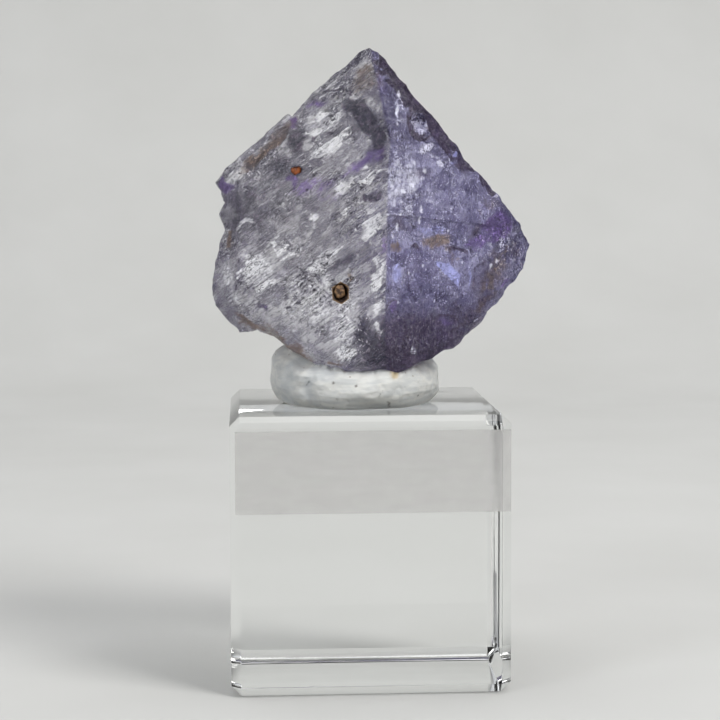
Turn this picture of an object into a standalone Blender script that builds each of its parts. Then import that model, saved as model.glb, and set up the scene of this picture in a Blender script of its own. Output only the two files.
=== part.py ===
"""A purple and grey fluorite crystal, pressed into a pat of white putty on a clear acrylic cube.

The cube carries a bare strip of clear label tape on its front. Lengths are in metres, +Z is up,
-Y is the front, and the origin is the centre of the cube's underside.
"""

import math

import bmesh
import bpy
from mathutils import Matrix, Vector, noise

MM = 0.001

# The acrylic cube, a one inch block with polished chamfers.
CUBE_SIDE = 25.4 * MM
CUBE_CHAMFER = 0.9 * MM
CUBE_HALF = CUBE_SIDE / 2

# The label tape on the front of the cube.
LABEL_WIDTH = 24.7 * MM
LABEL_HEIGHT = 7.4 * MM
LABEL_THICKNESS = 0.12 * MM
LABEL_BELOW_TOP = 1.25 * MM
LABEL_SHIFT = 0.15 * MM
LAID_GAP = 0.1 * MM

# The putty pat. Its rim is a roll that sinks below the crystal's foot and stands up at the left.
PUTTY_CENTRE = Vector((-0.8, -1.0, 25.4)) * MM
PUTTY_HALF_WIDTH = 8.1 * MM
PUTTY_HALF_DEPTH = 8.5 * MM
PUTTY_PROFILE = (
    (0.0, 0.0), (0.5, 0.0), (0.82, 0.0), (0.94, 0.16), (1.0, 0.45),
    (0.95, 0.78), (0.8, 1.0), (0.62, 0.93), (0.35, 0.62), (0.0, 0.5),
)
PUTTY_RIM = (
    (0, 4.3), (40, 4.5), (90, 4.7), (140, 4.9), (178, 5.6), (205, 5.0),
    (235, 4.0), (266, 3.4), (292, 4.1), (325, 4.3), (360, 4.3),
)
PUTTY_LUMPS = 0.05
PUTTY_AROUND = 60
PUTTY_UP = 22
SEAT_GAP = 0.3 * MM

# The crystal's outline seen from the front, clockwise from the top corner, as x and height.
CRYSTAL_OUTLINE = (
    (0.3, 58.3), (1.0, 57.9), (3.7, 54.7), (6.1, 52.2), (8.2, 49.7), (9.2, 48.3), (9.8, 47.6),
    (10.9, 46.7), (11.9, 45.4), (12.8, 44.4), (13.5, 43.5), (14.4, 42.3), (15.0, 41.2), (15.6, 40.3),
    (15.2, 39.1), (14.9, 38.6), (14.7, 38.2), (13.9, 37.0), (12.4, 35.3), (10.5, 33.0), (9.3, 31.9),
    (8.0, 30.9), (7.0, 30.7), (5.5, 29.8), (3.7, 29.3), (1.8, 28.6), (-1.0, 28.4), (-3.8, 29.1),
    (-5.2, 29.9), (-6.7, 30.7), (-8.0, 31.5), (-9.3, 32.3), (-10.0, 32.8), (-10.8, 32.4), (-11.7, 32.3),
    (-13.3, 34.1), (-14.1, 35.2), (-14.2, 36.3), (-13.8, 38.9), (-13.3, 40.8), (-12.9, 41.8),
    (-13.5, 43.3), (-12.9, 44.4), (-13.3, 45.4), (-13.7, 46.2), (-13.0, 47.3), (-10.8, 49.2),
    (-7.0, 52.5), (-6.7, 52.2), (-5.8, 53.2), (-4.7, 54.4), (-3.2, 55.7), (-1.6, 56.9), (-0.6, 57.9),
)
CRYSTAL_DEPTH = 24.0 * MM
CRYSTAL_CENTRE = Vector((0.8, 0.0, 43.4)) * MM

# Behind its widest place the outline narrows by a share a millimetre, by more where it wavers.
CRYSTAL_WIDEST = -0.6 * MM
CRYSTAL_RINGS = (1.2 * MM, 3.6 * MM, 6.0 * MM, 8.4 * MM)
CRYSTAL_TAPER = 0.008 / MM
CRYSTAL_WAVER = 0.022 / MM
CRYSTAL_WAVER_PER_MM = 0.21
CRYSTAL_TAPER_DEPTH = 9.0 * MM

# The faces that bound the crystal in front and behind, each a point in millimetres and an outward normal.
RIDGE = (1.57, -9.0, 42.0)
CRYSTAL_FACES = {
    "left front face": (RIDGE, (-0.24, -0.96, 0.03)),
    "right front face": (RIDGE, (0.36, -0.93, -0.01)),
    "upper right front face": ((2.05, -8.88, 49.7), (0.42, -0.90, 0.133)),
    "strip beside the ridge": (RIDGE, (-0.05, -1.0, -0.01)),
    "left side": ((-11.7, -5.8, 38.5), (-0.80, -0.60, 0.05)),
    "right side": ((11.4, -5.2, 38.0), (0.66, -0.74, -0.10)),
    "upper left bevel": ((-9.8, -6.0, 47.7), (-0.55, -0.64, 0.45)),
    "upper right bevel": ((5.1, -7.25, 51.3), (0.62, -0.60, 0.357)),
    "top of the front": ((0.6, -8.3, 56.5), (-0.15, -0.85, 0.50)),
    "lower left bevel": ((-6.1, -7.4, 31.9), (-0.50, -0.60, -0.55)),
    "lower right bevel": ((10.05, -5.65, 33.5), (0.62, -0.60, -0.42)),
    "foot": ((1.5, -8.6, 29.4), (0.0, -0.66, -0.75)),
    "left back face": ((0.0, 8.3, 43.0), (-0.34, 0.93, 0.12)),
    "right back face": ((1.5, 8.3, 43.0), (0.30, 0.94, -0.06)),
    "upper back bevel": ((0.5, 6.0, 53.0), (0.06, 0.76, 0.65)),
    "lower back bevel": ((0.5, 6.0, 32.4), (-0.04, 0.74, -0.67)),
    "right back bevel": ((11.9, 4.0, 40.0), (0.78, 0.60, 0.10)),
    "left back bevel": ((-11.2, 4.4, 39.0), (-0.74, 0.66, -0.08)),
}

# Growth plateaus on the back: the face each lies on, its centre across and up, its side, height and turn.
PLATEAUS = (
    ("left back face", -5.2, 43.6, 10.6, 0.45, 41.0),
    ("left back face", -4.2, 44.9, 6.8, 0.95, 44.0),
    ("left back face", -8.3, 38.4, 4.6, 0.75, 47.0),
    ("right back face", 5.6, 40.8, 11.2, 0.5, 49.0),
    ("right back face", 6.9, 39.2, 7.0, 1.05, 45.0),
    ("right back face", 4.1, 37.9, 4.2, 1.5, 48.0),
    ("right back face", 3.4, 47.9, 4.2, 0.55, 46.0),
)

# Hollows in the front, each a centre, a half width, a half height and a depth, in millimetres.
GRAIN_HOLLOWS = {
    "rust_grain_lower": ((-2.57, -7.9, 36.31), 0.85, 1.05, 0.7),
    "rust_grain_upper": ((-6.45, -6.6, 47.29), 0.85, 0.65, 0.55),
}
PIT_UPPER_RIGHT = ((4.85, -7.1, 51.7), 1.1, 1.3, 0.7)
GRAIN_SHARE = 0.6

# Growth ledges on the left front face. They run up to the right, and a step is where the height changes.
LEDGE_ORIGIN = Vector((-6.6, 0.0, 52.0)) * MM
LEDGE_ACROSS = Vector((0.6, 0.0, -0.8))
LEDGE_ALONG = Vector((0.8, 0.0, 0.6))
LEDGE_STEPS = (
    (1.6, 0.18), (4.3, -0.10), (7.0, 0.16), (9.2, -0.12), (10.1, -0.22),
    (12.2, 0.14), (14.0, -0.16), (15.8, 0.12),
)
LEDGE_RISER = 0.12 * MM
LEDGE_SOFT = 0.06
FRONT_FACING = -0.75

# The level ledge across the right front face, and the steps of the rough right side.
SHELF_PLACE = Vector((1.6, 0.0, 43.3)) * MM
SHELF_UP = Vector((0.113, 0.0, 0.994))
SHELF_STEP = 0.2
SIDE_STEPS = ((34.6, 0.18), (37.2, -0.2), (39.4, 0.22), (41.3, -0.16))
SIDE_STEPS_FROM = 12.0 * MM
SIDE_SLOPE = 0.45

# How far the broken surface stands in and out, in millimetres: everywhere, and what the places add.
ROUGH_ALL = 0.06
ROUGH_FOOT = 0.24
ROUGH_SIDES = 0.16
ROUGH_BACK = 0.12
ROUGH_SEAT = 0.05

# The flat faces are cut into cells along the crystal's own cube directions, and shaped from there.
CELL = 1.45 * MM
SNAP = 0.02 * MM
MERGE = 0.14 * MM
SHARP = math.radians(20)
LATTICE = (Vector((0.745, 0.0, 0.667)), Vector((0.667, 0.0, -0.745)), Vector((0.0, 1.0, 0.0)))


def clear_scene():
    for obj in list(bpy.data.objects):
        bpy.data.objects.remove(obj, do_unlink=True)


def new_collection(name, hidden=False):
    made = bpy.data.collections.new(name)
    made.hide_render = hidden
    bpy.context.scene.collection.children.link(made)
    return made


def principled(name, colour, roughness, transmission=0.0, ior=1.45):
    material = bpy.data.materials.new(name)
    material.use_nodes = True
    shader = material.node_tree.nodes["Principled BSDF"]
    shader.inputs["Base Color"].default_value = (*colour, 1.0)
    shader.inputs["Roughness"].default_value = roughness
    shader.inputs["Metallic"].default_value = 0.0
    shader.inputs["Transmission Weight"].default_value = transmission
    shader.inputs["IOR"].default_value = ior
    material.diffuse_color = (*colour, 1.0)
    return material


def mesh_object(name, bm, collection, material=None):
    mesh = bpy.data.meshes.new(name)
    bm.to_mesh(mesh)
    bm.free()
    obj = bpy.data.objects.new(name, mesh)
    collection.objects.link(obj)
    if material:
        mesh.materials.append(material)
    return obj


def evaluated_bmesh(obj):
    """The object's shape with its modifiers and its place applied."""
    bpy.context.view_layer.update()
    graph = bpy.context.evaluated_depsgraph_get()
    mesh = bpy.data.meshes.new_from_object(obj.evaluated_get(graph))
    bm = bmesh.new()
    bm.from_mesh(mesh)
    bm.transform(obj.matrix_world)
    bpy.data.meshes.remove(mesh)
    return bm


def bisect(bm, faces, point, normal):
    """Lays new edges where a plane crosses the faces."""
    verts = {vertex for face in faces for vertex in face.verts}
    edges = {edge for face in faces for edge in face.edges}
    bmesh.ops.bisect_plane(
        bm, geom=[*verts, *edges, *faces], dist=SNAP, plane_co=point, plane_no=normal
    )


def boolean(obj, other, operation):
    modifier = obj.modifiers.new(other.name, "BOOLEAN")
    modifier.operation = operation
    modifier.object = other
    modifier.solver = "EXACT"


def smoothstep(low, high, value):
    t = min(1.0, max(0.0, (value - low) / (high - low)))
    return t * t * (3.0 - 2.0 * t)


def build_cube(collection, material):
    bm = bmesh.new()
    bmesh.ops.create_cube(bm, size=CUBE_SIDE)
    cube = mesh_object("acrylic_cube", bm, collection, material)
    cube.location = (0.0, 0.0, CUBE_HALF)
    chamfer = cube.modifiers.new("chamfer", "BEVEL")
    chamfer.width = CUBE_CHAMFER
    chamfer.segments = 1


def build_label(collection, material):
    bm = bmesh.new()
    bmesh.ops.create_cube(bm, size=1.0)
    bmesh.ops.scale(bm, vec=(LABEL_WIDTH, LABEL_THICKNESS, LABEL_HEIGHT), verts=bm.verts)
    label = mesh_object("label_strip", bm, collection, material)
    label.location = (
        LABEL_SHIFT,
        -CUBE_HALF - LAID_GAP - LABEL_THICKNESS / 2,
        CUBE_SIDE - LABEL_BELOW_TOP - LABEL_HEIGHT / 2,
    )


def outline_prism(collection):
    """The crystal's outline run from front to back, narrower and less even behind its widest place."""
    curve = bpy.data.curves.new("crystal_outline", "CURVE")
    curve.dimensions = "2D"
    curve.fill_mode = "BOTH"
    curve.extrude = CRYSTAL_DEPTH / 2
    spline = curve.splines.new("POLY")
    spline.points.add(len(CRYSTAL_OUTLINE) - 1)
    for point, (x, height) in zip(spline.points, CRYSTAL_OUTLINE):
        point.co = (x * MM, height * MM, 0.0, 1.0)
    spline.use_cyclic_u = True
    drawn = bpy.data.objects.new("crystal_outline", curve)
    collection.objects.link(drawn)
    drawn.rotation_euler = (math.pi / 2, 0.0, 0.0)
    bm = evaluated_bmesh(drawn)
    bpy.data.objects.remove(drawn)
    bmesh.ops.remove_doubles(bm, verts=bm.verts, dist=0.01 * MM)
    for ring in (CRYSTAL_WIDEST, *CRYSTAL_RINGS):
        bisect(bm, bm.faces[:], Vector((0.0, ring, 0.0)), Vector((0.0, 1.0, 0.0)))
    for vertex in bm.verts:
        behind = min(CRYSTAL_TAPER_DEPTH, max(0.0, vertex.co.y - CRYSTAL_WIDEST))
        waver = max(0.0, noise.noise(vertex.co / MM * CRYSTAL_WAVER_PER_MM) + 0.1)
        narrowing = 1.0 - (CRYSTAL_TAPER + CRYSTAL_WAVER * waver) * behind
        vertex.co.x = CRYSTAL_CENTRE.x + (vertex.co.x - CRYSTAL_CENTRE.x) * narrowing
        vertex.co.z = CRYSTAL_CENTRE.z + (vertex.co.z - CRYSTAL_CENTRE.z) * narrowing
    bmesh.ops.triangulate(bm, faces=[face for face in bm.faces if len(face.verts) == 4])
    bmesh.ops.recalc_face_normals(bm, faces=bm.faces)
    return mesh_object("crystal_prism", bm, collection)


def habit_block(collection):
    """A block cut down to the crystal's faces."""
    bm = bmesh.new()
    bmesh.ops.create_cube(bm, size=60 * MM)
    bmesh.ops.translate(bm, vec=CRYSTAL_CENTRE, verts=bm.verts)
    for point, normal in CRYSTAL_FACES.values():
        cut = bmesh.ops.bisect_plane(
            bm,
            geom=bm.verts[:] + bm.edges[:] + bm.faces[:],
            dist=SNAP / 20,
            plane_co=Vector(point) * MM,
            plane_no=Vector(normal).normalized(),
            clear_outer=True,
        )
        rim = [part for part in cut["geom_cut"] if isinstance(part, bmesh.types.BMEdge)]
        if rim:
            bmesh.ops.contextual_create(bm, geom=rim)
    bmesh.ops.recalc_face_normals(bm, faces=bm.faces)
    return mesh_object("crystal_habit", bm, collection)


def plateaus(collection):
    """Square blocks sunk in the back faces, whose tops stand a little above them."""
    blocks = []
    for number, (face, across, up, side, height, turn) in enumerate(PLATEAUS, 1):
        point, normal = (Vector(part) for part in CRYSTAL_FACES[face])
        normal.normalize()
        depth = point.y - ((across - point.x) * normal.x + (up - point.z) * normal.z) / normal.y
        bm = bmesh.new()
        bmesh.ops.create_cube(bm, size=side)
        bmesh.ops.translate(bm, vec=(0.0, 0.0, height - side / 2), verts=bm.verts)
        bm.transform(Matrix.Rotation(math.radians(turn), 4, "Z"))
        bm.transform(normal.to_track_quat("Z", "Y").to_matrix().to_4x4())
        bm.transform(Matrix.Translation((across, depth, up)))
        bm.transform(Matrix.Scale(MM, 4))
        blocks.append(mesh_object(f"plateau_{number}", bm, collection))
    return blocks


def hollow_cutter(name, hollow, collection):
    """A six sided hollow that narrows inwards, entered from the front."""
    centre, half_width, half_height, depth = hollow
    bm = bmesh.new()
    bmesh.ops.create_cone(
        bm, cap_ends=True, segments=6, radius1=0.5 * MM, radius2=1.3 * MM, depth=3 * depth * MM
    )
    bm.transform(Matrix.Rotation(math.radians(30), 4, "Z"))
    bmesh.ops.scale(bm, vec=(half_width, half_height, 1.0), verts=bm.verts)
    bm.transform(Matrix.Rotation(math.pi / 2, 4, "X"))
    front = Vector((0.0, -0.5 * depth * MM, 0.0))
    bm.transform(Matrix.Translation(Vector(centre) * MM + front))
    return mesh_object(f"hollow_{name}", bm, collection)


def crystal_blank(helpers):
    """The crystal with flat faces: the shape that is roughened, and that the putty is pressed by."""
    blank = outline_prism(helpers)
    boolean(blank, habit_block(helpers), "INTERSECT")
    for block in plateaus(helpers):
        boolean(blank, block, "UNION")
    return blank


def ledge_height(point):
    """Height of the growth ledges in millimetres. Each ledge fades in and out along its length."""
    offset = (point - LEDGE_ORIGIN) / MM
    across = offset.dot(LEDGE_ACROSS)
    along = offset.dot(LEDGE_ALONG)
    height = 0.0
    for place, step in LEDGE_STEPS:
        strength = smoothstep(-0.25, 0.2, noise.noise(Vector((along * 0.16, place * 3.1, 0.0))))
        riser = smoothstep(place - LEDGE_SOFT, place + LEDGE_SOFT, across)
        height += step * (0.25 + 0.75 * strength) * riser
    return height


def is_left_front(point, normal):
    return normal.y < FRONT_FACING and point.x < RIDGE[0] * MM and normal.x < 0.1


def is_right_front(point, normal):
    return normal.y < FRONT_FACING and point.x > RIDGE[0] * MM


def growth_height(point, normal):
    """Height of the growth ledges on the front and the steps on the broken right side, in millimetres."""
    if is_left_front(point, normal):
        return ledge_height(point)
    if normal.y < FRONT_FACING:
        above = (point - SHELF_PLACE).dot(SHELF_UP) / MM
        return SHELF_STEP * smoothstep(-LEDGE_SOFT, LEDGE_SOFT, above)
    if normal.y < -0.3 and normal.x > 0.4:
        across = (point.z - SIDE_SLOPE * (point.x - SIDE_STEPS_FROM)) / MM
        return sum(step * smoothstep(place - 0.4, place + 0.4, across) for place, step in SIDE_STEPS)
    return 0.0


def roughness(p, normal):
    """How rough the surface is at a point in millimetres: most at the foot, then the sides and the back."""
    foot = smoothstep(0.0, -0.5, normal.z) * smoothstep(36.0, 33.0, p.z)
    sides = smoothstep(0.35, 0.8, abs(normal.x)) * smoothstep(48.0, 44.0, p.z)
    back = smoothstep(0.3, 0.8, normal.y)
    return ROUGH_ALL + ROUGH_FOOT * foot + ROUGH_SIDES * sides + ROUGH_BACK * back


def relief(point, normal):
    """How far the surface stands out from its flat face, in millimetres."""
    p = point / MM
    chips = noise.noise(p * 0.55) + 0.6 * noise.noise(p * 1.3 + Vector((7.0, 3.0, 1.0)))
    facets = noise.voronoi(p * 0.42)[0][0] - 0.55
    height = growth_height(point, normal) + roughness(p, normal) * (chips + 0.9 * facets)
    seat = smoothstep(32.0, 30.5, p.z)
    return height * (1.0 - seat) + min(height, ROUGH_SEAT) * seat


def dice(bm):
    """Cuts the flat faces into cells along the crystal's own cube directions."""
    for direction in LATTICE:
        reach = [direction.dot(vertex.co) for vertex in bm.verts]
        count = int((max(reach) - min(reach)) / CELL)
        for step in range(1, count + 1):
            bisect(bm, bm.faces[:], direction * (min(reach) + step * CELL), direction)


def cut_ledges(bm):
    """Lays an edge on each side of every riser, so that the ledges stay crisp."""
    for place, _ in LEDGE_STEPS:
        for side in (-0.5, 0.5):
            bm.normal_update()
            front = [f for f in bm.faces if is_left_front(f.calc_center_median(), f.normal)]
            middle = LEDGE_ORIGIN + LEDGE_ACROSS * (place * MM + side * LEDGE_RISER)
            bisect(bm, front, middle, LEDGE_ACROSS)
    for side in (-0.5, 0.5):
        bm.normal_update()
        front = [f for f in bm.faces if is_right_front(f.calc_center_median(), f.normal)]
        bisect(bm, front, SHELF_PLACE + SHELF_UP * side * LEDGE_RISER, SHELF_UP)


def roughen(bm):
    bm.normal_update()
    moved = [(v, v.normal * relief(v.co, v.normal) * MM) for v in bm.verts]
    for vertex, offset in moved:
        vertex.co += offset


def build_crystal(collection, helpers, blank, material):
    for name, hollow in GRAIN_HOLLOWS.items():
        boolean(blank, hollow_cutter(name, hollow, helpers), "DIFFERENCE")
    boolean(blank, hollow_cutter("upper_right", PIT_UPPER_RIGHT, helpers), "DIFFERENCE")
    bm = evaluated_bmesh(blank)
    bmesh.ops.dissolve_limit(
        bm, angle_limit=math.radians(0.5), verts=bm.verts[:], edges=bm.edges[:]
    )
    dice(bm)
    bmesh.ops.remove_doubles(bm, verts=bm.verts, dist=MERGE)
    cut_ledges(bm)
    bmesh.ops.triangulate(bm, faces=bm.faces[:], quad_method="BEAUTY", ngon_method="BEAUTY")
    roughen(bm)
    crystal = mesh_object("fluorite_crystal", bm, collection, material)
    crystal.data.shade_smooth()
    crystal.data.set_sharp_from_angle(angle=SHARP)


def build_grains(collection, material):
    """Rust brown grains of iron oxide, each lying in its hollow."""
    for seed, (name, (centre, half_width, half_height, depth)) in enumerate(GRAIN_HOLLOWS.items()):
        bm = bmesh.new()
        bmesh.ops.create_icosphere(bm, subdivisions=2, radius=GRAIN_SHARE * MM)
        bmesh.ops.scale(bm, vec=(half_width, depth * 0.6, half_height), verts=bm.verts)
        for vertex in bm.verts:
            vertex.co *= 1.0 + 0.14 * noise.noise(vertex.co / MM * 2.4 + Vector((seed, 0, 0)))
        bmesh.ops.translate(bm, vec=Vector(centre) * MM, verts=bm.verts)
        mesh_object(name, bm, collection, material)


def profile_point(share):
    """A point on the putty's profile, from the centre below (0) round the rim to the centre above (1)."""
    place = share * (len(PUTTY_PROFILE) - 1)
    index = min(int(place), len(PUTTY_PROFILE) - 2)
    t = place - index
    last = len(PUTTY_PROFILE) - 1
    a, b, c, d = (
        Vector(PUTTY_PROFILE[min(max(index + k, 0), last)]) for k in (-1, 0, 1, 2)
    )
    smooth = b * 2 + (c - a) * t + (a * 2 - b * 5 + c * 4 - d) * t**2 + (b * 3 - a - c * 3 + d) * t**3
    return smooth * 0.5


def rim_height(angle):
    """Height of the putty's rim at an angle round it, 0 at the right and 90 degrees at the back."""
    turn = math.degrees(angle) % 360
    for (start, low), (end, high) in zip(PUTTY_RIM, PUTTY_RIM[1:]):
        if turn <= end:
            return (low + (high - low) * smoothstep(start, end, turn)) * MM
    return PUTTY_RIM[-1][1] * MM


def build_putty(collection, helpers, blank, material):
    """A sphere drawn out to the putty's profile all round, with the crystal's foot pressed into it."""
    bm = bmesh.new()
    bmesh.ops.create_uvsphere(bm, u_segments=PUTTY_AROUND, v_segments=PUTTY_UP, radius=1.0)
    for vertex in bm.verts:
        angle = math.atan2(vertex.co.y, vertex.co.x)
        share = 0.5 + math.asin(max(-1.0, min(1.0, vertex.co.z))) / math.pi
        reach, level = profile_point(share)
        place = Vector((2 * math.cos(angle), 2 * math.sin(angle), 3 * level))
        reach *= 1.0 + PUTTY_LUMPS * noise.noise(place)
        across = PUTTY_HALF_WIDTH * reach * math.cos(angle)
        back = PUTTY_HALF_DEPTH * reach * math.sin(angle)
        up = LAID_GAP + max(0.0, level) * rim_height(angle)
        vertex.co = PUTTY_CENTRE + Vector((across, back, up))
    putty = mesh_object("putty_pat", bm, collection, material)
    putty.data.shade_smooth()
    pressed = evaluated_bmesh(blank)
    pressed.normal_update()
    moves = [(v, v.normal * v.calc_shell_factor() * SEAT_GAP) for v in pressed.verts]
    for vertex, offset in moves:
        vertex.co += offset.normalized() * min(offset.length, 2 * SEAT_GAP)
    boolean(putty, mesh_object("putty_impression", pressed, helpers), "DIFFERENCE")


def main():
    clear_scene()
    part = new_collection("fluorite_specimen")
    helpers = new_collection("cutters", hidden=True)
    acrylic = principled("clear acrylic", (0.95, 0.96, 0.95), 0.02, transmission=1.0, ior=1.49)
    tape = principled("clear tape", (0.88, 0.88, 0.86), 0.35, transmission=0.8, ior=1.46)
    putty = principled("white putty", (0.86, 0.86, 0.83), 0.6)
    fluorite = principled("purple fluorite", (0.42, 0.38, 0.56), 0.15, transmission=0.7, ior=1.434)
    rust = principled("iron oxide", (0.22, 0.10, 0.03), 0.7)
    build_cube(part, acrylic)
    build_label(part, tape)
    blank = crystal_blank(helpers)
    build_putty(part, helpers, blank, putty)
    build_crystal(part, helpers, blank, fluorite)
    build_grains(part, rust)
    for helper in helpers.objects:
        helper.hide_render = True
        helper.display_type = "WIRE"


main()
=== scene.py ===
"""The looks of a purple and grey fluorite crystal in white putty on a clear acrylic cube.

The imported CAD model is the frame. Lengths named in millimetres are turned to metres with MM.
"""

import math
from types import SimpleNamespace

import bmesh
import bpy
import numpy as np
from mathutils import Matrix, Vector, noise
from mathutils.bvhtree import BVHTree


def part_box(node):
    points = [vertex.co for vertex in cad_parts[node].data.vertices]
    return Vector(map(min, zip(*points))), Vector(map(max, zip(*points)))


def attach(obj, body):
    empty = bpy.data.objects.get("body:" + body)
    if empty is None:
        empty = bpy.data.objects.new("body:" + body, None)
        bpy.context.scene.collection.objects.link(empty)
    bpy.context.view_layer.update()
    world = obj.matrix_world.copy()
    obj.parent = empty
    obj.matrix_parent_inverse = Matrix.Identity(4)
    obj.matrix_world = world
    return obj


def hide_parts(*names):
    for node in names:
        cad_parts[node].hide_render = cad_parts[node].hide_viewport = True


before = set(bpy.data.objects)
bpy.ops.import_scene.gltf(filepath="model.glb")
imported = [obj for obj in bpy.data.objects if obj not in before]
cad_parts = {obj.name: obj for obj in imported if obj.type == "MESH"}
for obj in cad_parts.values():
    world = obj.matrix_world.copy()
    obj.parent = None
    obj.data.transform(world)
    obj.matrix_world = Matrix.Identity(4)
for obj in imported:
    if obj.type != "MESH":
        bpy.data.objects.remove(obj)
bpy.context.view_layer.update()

MM = 0.001

# The camera, fitted to the cube's edges in the photograph.
CAMERA_PLACE = Vector((-11.057, -185.674, 46.298)) * MM
CAMERA_YAW = math.radians(3.3211)
CAMERA_PITCH = math.radians(5.2124)
CAMERA_ROLL = math.radians(-0.18755)
CAMERA_LENS = 97.91
CAMERA_SENSOR = 36.0

# The directions of the growth bands on the left front face: along them, and across them.
BAND_TILT = math.radians(36.9)
BAND_ALONG = np.array((math.cos(BAND_TILT), 0.0, math.sin(BAND_TILT)))
BAND_ACROSS = np.array((math.sin(BAND_TILT), 0.0, -math.cos(BAND_TILT)))

# The ridge between the two front faces, as x at a height.
RIDGE_HEIGHTS = (28.0, 31.0, 47.0, 49.7, 53.0, 57.5)
RIDGE_X = (1.75, 1.5, 1.75, 2.0, 1.3, 0.35)

# The longest mesh edges in millimetres, on the crystal's front and elsewhere, the putty and the grains.
FRONT_EDGE = 0.24
OTHER_EDGE = 0.48
PUTTY_EDGE = 0.24
GRAIN_EDGE = 0.09

# Two faces of the crystal or of the cube that meet at more than this angle keep a sharp edge.
CRYSTAL_SHARP = math.radians(24)
CUBE_SHARP = math.radians(25)

# The cube's chamfers and the rounding of their edges, in millimetres.
CUBE_CHAMFER = 0.9
CUBE_ROUNDING = 0.07

# Where the putty's underside lies in the solid, at most, and where the eye sees it, just on the cube.
PUTTY_UNDERSIDE = 25.55
PUTTY_ON_CUBE = 25.42
# The putty closes up to the crystal where it is nearer than SEAT_REACH, down to SEAT_GAP.
SEAT_REACH = 0.55
SEAT_GAP = 0.02

FLUORITE_IOR = 1.434
ACRYLIC_IOR = 1.49
TAPE_IOR = 1.46

# The crystal's tones, each on its grey left side and on its blue violet right side.
FLUORITE_TONES = {
    "clear": ((238, 237, 238), (198, 195, 228)),
    "cloud": ((182, 181, 190), (134, 128, 172)),
    "plate": ((170, 167, 178), (138, 131, 178)),
    "fibre": ((116, 112, 128), (92, 84, 130)),
    "gloom": ((62, 66, 86), (82, 58, 92)),
    "milk": ((214, 214, 216), (186, 186, 210)),
    "white": ((243, 243, 245), (222, 222, 237)),
    "vein": ((78, 75, 88), (62, 52, 92)),
    "grit": ((96, 92, 106), (76, 64, 104)),
}

# Stains: the mask, the tone and how much of it shows.
STAINS = (
    ("violet", (146, 112, 188), 0.8),
    ("brown", (154, 136, 124), 0.85),
    ("blue", (188, 192, 240), 0.8),
)

# How much each mask adds to the crystal's transmission.
CLEARNESS_CHANGES = {"brown": -0.4, "blue": -0.3, "rust": -2.0, "glint": -0.8, "dot": -0.6, "clear": 0.3}

# Area lights: name, place, width, height, watts, colour. All of them face the crystal.
LIGHTS = (
    ("key", (0.34, -0.30, 0.44), 0.22, 0.30, 2.3, (1.0, 0.99, 0.97)),
    ("fill", (-0.44, -0.36, 0.24), 0.16, 0.34, 0.7, (0.95, 0.97, 1.0)),
    ("top", (0.0, 0.10, 0.60), 0.6, 0.4, 1.3, (1.0, 1.0, 1.0)),
)
LIT_POINT = Vector((0.0, 0.0, 0.035))
ROOM_STRENGTH = 0.57

# Broad, faint veils on the front in millimetres: what it is, centre x, height, half length, half height,
# turn in degrees, strength.
BROAD_VEILS = (
    ("lower left face", -5.6, 37.0, 6.8, 5.6, 10, 0.9),
    ("foot of the left face", -3.2, 33.0, 3.6, 3.2, 30, 0.8),
    ("middle of the left face", -2.4, 45.4, 4.6, 2.2, 30, 0.42),
    ("under the top", -3.4, 50.4, 3.6, 2.0, 25, 0.7),
    ("left side", -13.0, 38.2, 2.6, 1.2, 90, 0.5),
    ("frosted zone", 3.4, 46.4, 4.0, 2.2, 90, 0.9),
    ("upper right face", 6.6, 46.6, 3.6, 2.8, 0, 0.48),
    ("below the pit", 5.0, 49.4, 2.0, 1.6, 0, 0.5),
    ("right face, middle", 5.6, 36.8, 3.4, 2.6, 0, 0.25),
)

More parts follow.
